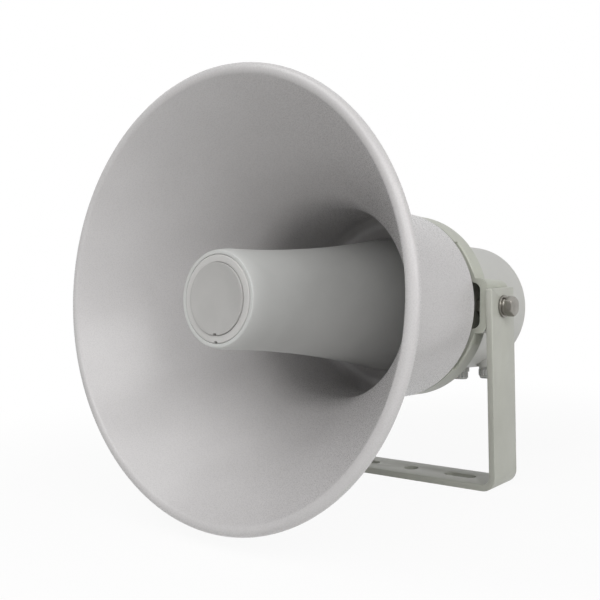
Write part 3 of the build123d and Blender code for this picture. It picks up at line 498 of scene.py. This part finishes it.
# the flat bar is drawn as one end, pulled down, bent, pulled across, bent and pulled up
def buildBracket(s):
    deselectAll()
    middle = (s["outer"] - s["bar"] / 2) * mm
    bpy.ops.mesh.primitive_plane_add(size=1.0, location=(-middle, 0, s["top"] * mm))
    bar = bpy.context.object
    bar.name = "bentBar"
    bar.scale = (s["bar"] * mm, s["width"] * mm, 1.0)
    bpy.ops.object.transform_apply(location=True, rotation=True, scale=True)
    turn = (s["outer"] - s["bend"]) * mm
    reach = (s["top"] - s["bend"]) * mm
    bend = {"steps": s["bendSteps"], "angle": math.pi / 2, "axis": (0, 1, 0)}
    bpy.ops.object.mode_set(mode="EDIT")
    bpy.ops.mesh.select_all(action="SELECT")
    bpy.ops.mesh.extrude_region_move(TRANSFORM_OT_translate={"value": (0, 0, -reach)})
    bpy.ops.mesh.spin(center=(-turn, 0, s["bend"] * mm), **bend)
    bpy.ops.mesh.extrude_region_move(TRANSFORM_OT_translate={"value": (2 * turn, 0, 0)})
    bpy.ops.mesh.spin(center=(turn, 0, s["bend"] * mm), **bend)
    bpy.ops.mesh.extrude_region_move(TRANSFORM_OT_translate={"value": (0, 0, reach)})
    bpy.ops.mesh.select_all(action="SELECT")
    bpy.ops.mesh.remove_doubles(threshold=weld * mm)
    bpy.ops.mesh.normals_make_consistent(inside=False)
    bpy.ops.mesh.select_mode(type="EDGE")
    bpy.ops.mesh.select_all(action="DESELECT")
    bpy.ops.object.mode_set(mode="OBJECT")
    points = bar.data.vertices
    for edge in bar.data.edges:  # the four corners at the tips of the arms
        a, b = (points[i].co for i in edge.vertices)
        atTop = min(a.z, b.z) > (s["top"] - s["near"]) * mm
        edge.select = atTop and abs(a.y - b.y) < s["near"] * mm
    bpy.ops.object.mode_set(mode="EDIT")
    bpy.ops.mesh.bevel(offset=s["corner"] * mm, segments=s["cornerSteps"], affect="EDGES")
    bpy.ops.object.mode_set(mode="OBJECT")
    for cutter in bracketCutters(s):
        joinShapes(bar, cutter, "DIFFERENCE")
    soften(bar, s["edge"], s["edgeSteps"], s["sharp"], s["crease"])
    finishPiece(bar, "bracket", "u_bracket")


# one rod through both arms for the tilt bolts, and the three openings of the base
def bracketCutters(s):
    length = s["cutterLength"] * mm
    bpy.ops.mesh.primitive_cylinder_add(
        vertices=s["holeSides"], radius=s["pivotHole"] * mm, depth=2 * s["outer"] * mm + length,
        location=(0, 0, s["pivot"] * mm), rotation=(0, math.pi / 2, 0))
    cutters = [bpy.context.object]
    bpy.ops.mesh.primitive_cylinder_add(
        vertices=s["holeSides"], radius=s["baseHole"] * mm, depth=length)
    cutters.append(bpy.context.object)
    half = (s["slotLength"] - s["slotWidth"]) / 2 * mm
    for side in (-1, 1):
        deselectAll()
        bpy.ops.mesh.primitive_cylinder_add(
            vertices=s["holeSides"], radius=s["slotWidth"] / 2 * mm, depth=length,
            location=(side * s["slotSpacing"] / 2 * mm, 0, 0))
        slot = bpy.context.object
        for point in slot.data.vertices:  # pulls the two halves of the round apart
            point.co.x += half if point.co.x > 0 else -half
        cutters.append(slot)
    return cutters


buildBracket(bracketSizes)

copyLook = {"weld": 0.002, "flat": 0.5, "crease": 40}


# a copy of a CAD piece without the loader's notes, merged into one closed skin
def mergedCopy(nodeName, pieceName):
    takeUp(nodes[nodeName])
    bpy.ops.object.duplicate(linked=False)
    piece = bpy.context.object
    piece.name = pieceName
    for key in list(piece.keys()):
        del piece[key]
    piece.parent = None
    bpy.ops.object.mode_set(mode="EDIT")
    bpy.ops.mesh.select_all(action="SELECT")
    bpy.ops.mesh.remove_doubles(threshold=copyLook["weld"] * mm)
    bpy.ops.mesh.customdata_custom_splitnormals_clear()
    bpy.ops.mesh.dissolve_limited(angle_limit=math.radians(copyLook["flat"]))
    bpy.ops.object.mode_set(mode="OBJECT")
    return piece


fastenerLook = {
    "pivot_bolts": {"name": "tiltBolts", "edge": 0.2, "steps": 2, "sharp": 30},
    "flat_washers": {"name": "punchedWashers", "edge": 0.25, "steps": 2, "sharp": 40},
    "spring_washers": {"name": "splitWashers", "edge": 0.2, "steps": 2, "sharp": 40}}

for nodeName, look in fastenerLook.items():
    fastener = mergedCopy(nodeName, look["name"])
    soften(fastener, look["edge"], look["steps"], look["sharp"], copyLook["crease"])
    finishPiece(fastener, "horn", nodeName)

hornLook = {
    "pivotHeight": 135.6, "pivotBehindRim": 215.5, "aimUp": 4.0, "around": 144, "crease": 30,
    "rodSides": 32, "cutMargin": 1.0}


# turns an outline about the horn's axis, with the tilt bolts at the origin; its points are
# (radius, distance behind the rim), and one that starts on the axis is left open there
def turnPiece(name, outline):
    deselectAll()
    bpy.ops.mesh.primitive_plane_add(size=mm)
    piece = bpy.context.object
    piece.name = name
    bpy.ops.object.mode_set(mode="EDIT")
    bpy.ops.mesh.select_mode(type="VERT")
    bpy.ops.mesh.select_all(action="SELECT")
    bpy.ops.mesh.merge(type="CENTER")
    pivot = hornLook["pivotBehindRim"]
    stops = [Vector((0.0, (behind - pivot) * mm, radius * mm)) for radius, behind in outline]
    bpy.ops.transform.translate(value=stops[0])
    if outline[0][0] > 0:
        stops.append(stops[0])
    for here, there in zip(stops, stops[1:]):
        bpy.ops.mesh.extrude_region_move(TRANSFORM_OT_translate={"value": there - here})
    bpy.ops.mesh.select_all(action="SELECT")
    bpy.ops.mesh.remove_doubles(threshold=weld * mm)
    bpy.ops.mesh.spin(steps=hornLook["around"], angle=2 * math.pi, center=(0, 0, 0), axis=(0, 1, 0))
    bpy.ops.mesh.select_all(action="SELECT")
    bpy.ops.mesh.remove_doubles(threshold=weld * mm)
    bpy.ops.mesh.normals_make_consistent(inside=False)
    bpy.ops.object.mode_set(mode="OBJECT")
    return piece


# values from first to last with equal steps between them, both ends included
def evenly(first, last, steps):
    return [first + (last - first) * k / steps for k in range(steps + 1)]


# points on an arc, where 0 degrees points out from the axis and 90 to the rear
def arcPoints(middle, radius, first, last, steps):
    turns = [math.radians(turn) for turn in evenly(first, last, steps)]
    return [(middle[0] + radius * math.cos(t), middle[1] + radius * math.sin(t)) for t in turns]


# the arc that rounds a square corner of an outline
def cornerPoints(corner, radius, first, last, steps):
    halfway = math.radians((first + last) / 2)
    middle = (corner[0] - math.copysign(radius, math.cos(halfway)),
              corner[1] - math.copysign(radius, math.sin(halfway)))
    return arcPoints(middle, radius, first, last, steps)


# moves a piece from the turning axis to its place in the tilted horn
def placeOnHorn(piece):
    takeUp(piece)
    piece.location = (0, 0, hornLook["pivotHeight"] * mm)
    piece.rotation_euler = (math.radians(-hornLook["aimUp"]), 0, 0)
    bpy.ops.object.transform_apply(location=True, rotation=True, scale=True)


def finishTurned(piece, nodeName):
    placeOnHorn(piece)
    smooth(piece, hornLook["crease"])
    finishPiece(piece, "horn", nodeName)


# a rod along the axis, standing off it by circle mm at an angle from the top
def axialRod(radius, front, back, circle, angle):
    deselectAll()
    turn = math.radians(angle)
    middle = (front + back) / 2 - hornLook["pivotBehindRim"]
    bpy.ops.mesh.primitive_cylinder_add(
        vertices=hornLook["rodSides"], radius=radius * mm, depth=(back - front) * mm,
        rotation=(math.pi / 2, 0, 0),
        location=(circle * math.sin(turn) * mm, middle * mm, circle * math.cos(turn) * mm))
    return bpy.context.object


bellSizes = {
    "rim": 142.0, "roll": 4.0, "rollBehind": 1.2, "rollSteps": 28, "wall": 2.6,
    "lean": 31.5, "bend": 60.0, "bendSteps": 14, "throat": 70.2,
    "rear": 71.4, "depth": 193.6, "rearWall": 3.0, "rearHole": 38.0,
    "rearEdge": 2.5, "rearEdgeSteps": 6, "fold": 10.0, "foldSteps": 8,
    "boss": 4.2, "bossFront": 179.6, "bossHole": 2.05, "bossHoleFront": 180.6,
    "screwCircle": 64.4, "screwAngles": (61.0, 119.0, 241.0, 299.0)}


# the cone runs straight in from the rolled rim and bends into the barrel on one long arc
def bellOutline(s):
    lean = math.radians(s["lean"])
    facing = 180.0 + s["lean"]  # where the cone's inside faces, as an arc's angle
    inner = s["throat"] - s["wall"]
    roll = (s["rim"] - s["roll"], s["rollBehind"])
    start = (roll[0] - s["roll"] * math.cos(lean), roll[1] - s["roll"] * math.sin(lean))
    bendFrom = inner + s["bend"] * (1 - math.cos(lean))  # radius where the straight cone ends
    coneLength = (start[0] - bendFrom) / math.tan(lean)
    bend = (inner + s["bend"], start[1] + coneLength + s["bend"] * math.sin(lean))
    sunk = s["roll"] - s["wall"]  # from the roll's middle to the sheet's outside
    meets = s["lean"] + 90.0 + math.degrees(math.asin(sunk / s["roll"]))
    rearInside = s["depth"] - s["rearWall"]
    rim = arcPoints(roll, s["roll"], facing, 360.0 + meets, s["rollSteps"])
    outside = arcPoints(bend, s["bend"] - s["wall"], facing, 180.0, s["bendSteps"])
    edge = cornerPoints((s["rear"], s["depth"]), s["rearEdge"], 0.0, 90.0, s["rearEdgeSteps"])
    hole = [(s["rearHole"], s["depth"]), (s["rearHole"], rearInside)]
    fold = cornerPoints((s["rear"] - s["wall"], rearInside), s["fold"], 90.0, 0.0, s["foldSteps"])
    inside = arcPoints(bend, s["bend"], 180.0, facing, s["bendSteps"])
    return rim + outside + edge + hole + fold + inside


# four bosses for the ring's screws stand inside the rear wall
def buildBell(s):
    bell = turnPiece("spunBell", bellOutline(s))
    bossBack = s["depth"] - s["rearWall"] / 2
    holeBack = s["depth"] + hornLook["cutMargin"]
    for angle in s["screwAngles"]:
        boss = axialRod(s["boss"], s["bossFront"], bossBack, s["screwCircle"], angle)
        joinShapes(bell, boss, "UNION")
        hole = axialRod(s["bossHole"], s["bossHoleFront"], holeBack, s["screwCircle"], angle)
        joinShapes(bell, hole, "DIFFERENCE")
    finishTurned(bell, "horn_bell")


buildBell(bellSizes)

noseSizes = {
    "radius": 31.0, "end": 50.0, "length": 178.0, "power": 1.76, "flareSteps": 30, "wall": 2.2,
    "lip": 29.2, "lipInner": 27.2, "lipEdge": 0.45, "lipSteps": 4,
    "shoulder": 17.0, "shoulderSteps": 16, "crowding": 1.5, "floor": 8.0, "web": 2.8,
    "screwHole": 1.55, "holeFront": 1.0, "screwCircle": 19.3, "screwAngles": (0.0, 120.0, 240.0)}


def noseRadius(s, behind):
    return s["radius"] + (s["end"] - s["radius"]) * (behind / s["length"]) ** s["power"]


# the nose rounds up gently behind its lip, with its points crowded there, then flares to the rear
def noseOutline(s):
    floor, webBack = s["floor"], s["floor"] + s["web"]
    lip = cornerPoints((s["lipInner"], 0.0), s["lipEdge"], 180.0, 270.0, s["lipSteps"])
    rise = noseRadius(s, s["shoulder"]) - s["lip"]
    turns = [math.pi / 2 * share ** s["crowding"] for share in evenly(0.0, 1.0, s["shoulderSteps"])]
    rounding = [(s["lip"] + rise * math.sin(t), s["shoulder"] * (1 - math.cos(t))) for t in turns]
    back = evenly(s["shoulder"], s["length"], s["flareSteps"])[1:]
    front = evenly(s["length"], webBack, s["flareSteps"])
    outside = [(noseRadius(s, b), b) for b in back]
    inside = [(noseRadius(s, b) - s["wall"], b) for b in front]
    recess = [(0.0, floor), (s["lipInner"], floor)]
    return recess + lip + rounding + outside + inside + [(0.0, webBack)]


def buildNose(s):
    nose = turnPiece("noseHorn", noseOutline(s))
    holeBack = s["floor"] + s["web"] + hornLook["cutMargin"]
    for angle in s["screwAngles"]:
        hole = axialRod(s["screwHole"], s["holeFront"], holeBack, s["screwCircle"], angle)
        joinShapes(nose, hole, "DIFFERENCE")
    finishTurned(nose, "horn_reflector")


buildNose(noseSizes)

notchSizes = {"width": 2.6, "reach": 1.3, "depth": 2.4}


# a small block at the lowest point of a trim piece, where a blade would lift it out
def notchCutter(s, radius, front):
    deselectAll()
    bpy.ops.mesh.primitive_cube_add(size=1.0)
    cutter = bpy.context.object
    cutter.scale = (s["width"] * mm, 2 * s["depth"] * mm, 2 * s["reach"] * mm)
    cutter.location = (0, (front - hornLook["pivotBehindRim"]) * mm, -radius * mm)
    bpy.ops.object.transform_apply(location=True, rotation=True, scale=True)
    return cutter


trimSizes = {
    "outer": 27.0, "inner": 22.4, "face": -0.2, "back": 8.0,
    "outerEdge": 0.8, "outerSteps": 6, "innerEdge": 0.35, "innerSteps": 4}


def buildTrimRing(s):
    inner = cornerPoints((s["inner"], s["face"]), s["innerEdge"], 180.0, 270.0, s["innerSteps"])
    outer = cornerPoints((s["outer"], s["face"]), s["outerEdge"], 270.0, 360.0, s["outerSteps"])
    back = [(s["outer"], s["back"]), (s["inner"], s["back"])]
    ring = turnPiece("trimRing", inner + outer + back)
    joinShapes(ring, notchCutter(notchSizes, s["outer"], s["face"]), "DIFFERENCE")
    finishTurned(ring, "nose_ring")


buildTrimRing(trimSizes)

capSizes = {
    "radius": 22.2, "face": -1.2, "dish": 2.0, "dishSteps": 12, "edge": 0.3, "edgeSteps": 4,
    "wall": 2.0, "skirt": 2.5, "screwRoom": 15.875, "floor": 8.0}


# the cap's face is dished a little, and its foot stands on the nose's floor inside the screws
def buildCap(s):
    rim, foot = s["radius"] - s["edge"], s["screwRoom"] - s["wall"]
    inside = s["face"] + s["dish"] + s["wall"]
    face = [(rim * share, s["face"] + s["dish"] * (1 - share ** 2))
            for share in evenly(0.0, 1.0, s["dishSteps"])]
    edge = cornerPoints((s["radius"], s["face"]), s["edge"], 290.0, 360.0, s["edgeSteps"])
    back = [(s["radius"], s["skirt"]), (s["screwRoom"], s["skirt"]), (s["screwRoom"], s["floor"]),
            (foot, s["floor"]), (foot, inside), (0.0, inside)]
    cap = turnPiece("noseCap", face + edge + back)
    joinShapes(cap, notchCutter(notchSizes, s["radius"], s["face"]), "DIFFERENCE")
    finishTurned(cap, "nose_cap")


buildCap(capSizes)


# how far across, behind the rim and up from the horn's axis a point of the model lies, in mm
def onHorn(point):
    aim = math.radians(hornLook["aimUp"])
    rise = point.z - hornLook["pivotHeight"] * mm
    behind = point.y * math.cos(aim) - rise * math.sin(aim)
    up = point.y * math.sin(aim) + rise * math.cos(aim)
    return point.x / mm, behind / mm + hornLook["pivotBehindRim"], up / mm


# the way back, from the horn's own directions to a point of the model
def offHorn(across, behind, up):
    aim = math.radians(hornLook["aimUp"])
    back = behind - hornLook["pivotBehindRim"]
    return Vector((across * mm, (back * math.cos(aim) + up * math.sin(aim)) * mm,
                   (hornLook["pivotHeight"] - back * math.sin(aim) + up * math.cos(aim)) * mm))


ringSizes = {
    "hoodInner": 64.6, "hoodOuter": 70.85, "hoodFront": 202.5, "hoodBack": 215.0, "hoodHalf": 54.0,
    "slab": 300.0, "pocketWall": 70.35, "pocketFront": 199.4, "draftFrom": 64.0, "draft": 1.5,
    "near": 0.3, "wallNear": 0.05, "edge": 0.5, "edgeSteps": 3, "sharp": 40}


# the casting's hoods run back over its band, and the bolt pockets open a little to the front
def buildCastRing(s):
    ring = mergedCopy("mount_ring", "castRing")
    reach = s["pocketWall"] - s["draftFrom"]
    for point in ring.data.vertices:
        across, behind, up = onHorn(point.co)
        atFront = abs(behind - s["pocketFront"]) < s["near"]
        if atFront and s["draftFrom"] < abs(across) < s["pocketWall"] + s["wallNear"]:
            share = (abs(across) - s["draftFrom"]) / reach
            point.co.x += math.copysign(s["draft"] * mm * share, across)
    hood = turnPiece("hood", [
        (s["hoodInner"], s["hoodFront"]), (s["hoodOuter"], s["hoodFront"]),
        (s["hoodOuter"], s["hoodBack"]), (s["hoodInner"], s["hoodBack"])])
    bpy.ops.mesh.primitive_cube_add(size=1.0)  # leaves the hood at the top and bottom only
    slab = bpy.context.object
    slab.scale = (2 * s["hoodHalf"] * mm, s["slab"] * mm, s["slab"] * mm)
    bpy.ops.object.transform_apply(location=True, rotation=True, scale=True)
    joinShapes(hood, slab, "INTERSECT")
    placeOnHorn(hood)
    joinShapes(ring, hood, "UNION")
    soften(ring, s["edge"], s["edgeSteps"], s["sharp"], copyLook["crease"])
    finishPiece(ring, "horn", "mount_ring")


buildCastRing(ringSizes)

cupSizes = {
    "radius": 53.0, "end": 320.0, "solidRounding": 6.0, "rounding": 3.0, "sink": 0.25,
    "near": 0.1, "endNear": 0.05, "slack": 0.01}


# the cup's end is rounded more tightly than in the solid, and sinks a little to stay inside it
def buildCup(s):
    cup = mergedCopy("rear_cover", "rearCup")
    wide, tight = s["solidRounding"], s["rounding"]
    for point in cup.data.vertices:
        across, behind, up = onHorn(point.co)
        out = math.hypot(across, up)
        beyond, past = out - s["radius"] + wide, behind - s["end"] + wide
        onRounding = abs(math.hypot(beyond, past) - wide) < s["near"]
        if min(beyond, past) > -s["slack"] and onRounding:
            reach = (s["radius"] - tight + beyond * tight / wide) / out
            newBehind = s["end"] - s["sink"] - tight + past * tight / wide
            point.co = offHorn(across * reach, newBehind, up * reach)
        elif abs(behind - s["end"]) < s["endNear"]:
            point.co = offHorn(across, behind - s["sink"], up)
    smooth(cup, copyLook["crease"])
    finishPiece(cup, "horn", "rear_cover")


buildCup(cupSizes)

floorLook = {
    "colour": "#f2f2f1", "roughness": 0.9, "size": 8.0, "drop": 0.2,
    "lift": 0.93, "fadeFrom": 0.2, "fadeTo": 0.6}


# pale paper sweep that reads as white to the camera and keeps a light shadow
def buildFloor(s):
    deselectAll()
    bpy.ops.mesh.primitive_plane_add(size=s["size"], location=(0, 0, -s["drop"] * mm))
    floor = bpy.context.object
    floor.name = "paperFloor"
    material, tree, shader, place = newMaterial("white paper")
    shader.inputs["Base Color"].default_value = linear(s["colour"])
    shader.inputs["Roughness"].default_value = s["roughness"]
    glow = addNode(tree, "ShaderNodeEmission", {"Color": white, "Strength": 1.0})
    path = addNode(tree, "ShaderNodeLightPath")
    seen = addNode(tree, "ShaderNodeMath", {"operation": "MAXIMUM"})
    tree.links.new(path.outputs["Is Camera Ray"], seen.inputs[0])
    tree.links.new(path.outputs["Is Glossy Ray"], seen.inputs[1])
    away = addNode(tree, "ShaderNodeVectorMath", {"operation": "LENGTH"})
    tree.links.new(place, away.inputs[0])
    fade = addNode(
        tree, "ShaderNodeMapRange",
        {"From Min": s["fadeFrom"], "From Max": s["fadeTo"], "To Min": s["lift"], "To Max": 1.0,
         "interpolation_type": "SMOOTHSTEP"},
        {"Value": away.outputs["Value"]})
    share = addNode(tree, "ShaderNodeMath", {"operation": "MULTIPLY", "use_clamp": True})
    tree.links.new(seen.outputs["Value"], share.inputs[0])
    tree.links.new(fade.outputs["Result"], share.inputs[1])
    blend = addNode(tree, "ShaderNodeMixShader", links={"Fac": share.outputs["Value"]})
    tree.links.new(shader.outputs["BSDF"], blend.inputs[1])
    tree.links.new(glow.outputs["Emission"], blend.inputs[2])
    output = next(n for n in tree.nodes if n.bl_idname == "ShaderNodeOutputMaterial")
    tree.links.new(blend.outputs["Shader"], output.inputs["Surface"])
    floor.data.materials.append(material)


buildFloor(floorLook)

# a lamp's bearing is in degrees to the right of the horn's front, its height in degrees above
# the floor and its power in watts
lampLook = {
    "key": {"bearing": 66.0, "height": 30.0, "size": 1.2, "power": 12.4},
    "front": {"bearing": 18.0, "height": 33.0, "size": 1.2, "power": 12.8},
    "side": {"bearing": 95.0, "height": 3.0, "size": 1.2, "power": 9.8},
    "high": {"bearing": -20.0, "height": 60.0, "size": 1.2, "power": 9.3}}
lampReach = 1.9  # metres from the point that all lamps are aimed at
lampAim = Vector((0.0, -0.05, 0.12))


def addLamp(name, s):
    lamp = bpy.data.lights.new(name, "AREA")
    lamp.shape = "SQUARE"
    lamp.size = s["size"]
    lamp.energy = s["power"]
    holder = bpy.data.objects.new(name, lamp)
    bpy.context.scene.collection.objects.link(holder)
    bearing, height = math.radians(s["bearing"]), math.radians(s["height"])
    flat = math.cos(height)
    away = Vector((flat * math.sin(bearing), -flat * math.cos(bearing), math.sin(height)))
    holder.location = lampAim + away * lampReach
    holder.rotation_euler = away.to_track_quat("Z", "Y").to_euler()


for lampName, look in lampLook.items():
    addLamp(lampName, look)

roomLook = {"colour": "#fdfbfa", "strength": 0.04}


# soft room light, and plain white where the camera, a reflection or a see-through part meets
# the backdrop
def lightRoom(s):
    world = bpy.data.worlds.new("studio")
    bpy.context.scene.world = world
    world.use_nodes = True
    tree = world.node_tree
    tree.nodes.clear()
    room = addNode(
        tree, "ShaderNodeBackground", {"Color": linear(s["colour"]), "Strength": s["strength"]})
    sheet = addNode(tree, "ShaderNodeBackground", {"Color": white, "Strength": 1.0})
    path = addNode(tree, "ShaderNodeLightPath")
    seen = addNode(tree, "ShaderNodeMath", {"operation": "MAXIMUM"})
    tree.links.new(path.outputs["Is Camera Ray"], seen.inputs[0])
    tree.links.new(path.outputs["Is Glossy Ray"], seen.inputs[1])
    through = addNode(tree, "ShaderNodeMath", {"operation": "MAXIMUM"})
    tree.links.new(seen.outputs["Value"], through.inputs[0])
    tree.links.new(path.outputs["Is Transmission Ray"], through.inputs[1])
    blend = addNode(tree, "ShaderNodeMixShader", links={"Fac": through.outputs["Value"]})
    tree.links.new(room.outputs["Background"], blend.inputs[1])
    tree.links.new(sheet.outputs["Background"], blend.inputs[2])
    output = addNode(tree, "ShaderNodeOutputWorld")
    tree.links.new(blend.outputs["Shader"], output.inputs["Surface"])


lightRoom(roomLook)
print("lamps and room lit")

cameraLook = {
    "place": (0.36939, -0.58591, 0.16880), "turn": (87.775, 1.500, 39.298), "lens": 51.72,
    "sensor": 36.0, "nearClip": 0.01}


def addCamera(s):
    camera = bpy.data.cameras.new("camera")
    camera.sensor_width = s["sensor"]
    camera.lens = s["lens"]
    camera.clip_start = s["nearClip"]
    holder = bpy.data.objects.new("camera", camera)
    bpy.context.scene.collection.objects.link(holder)
    holder.location = s["place"]
    holder.rotation_euler = [math.radians(a) for a in s["turn"]]
    bpy.context.scene.camera = holder


addCamera(cameraLook)
bpy.context.scene.view_settings.view_transform = "Standard"

deselectAll()
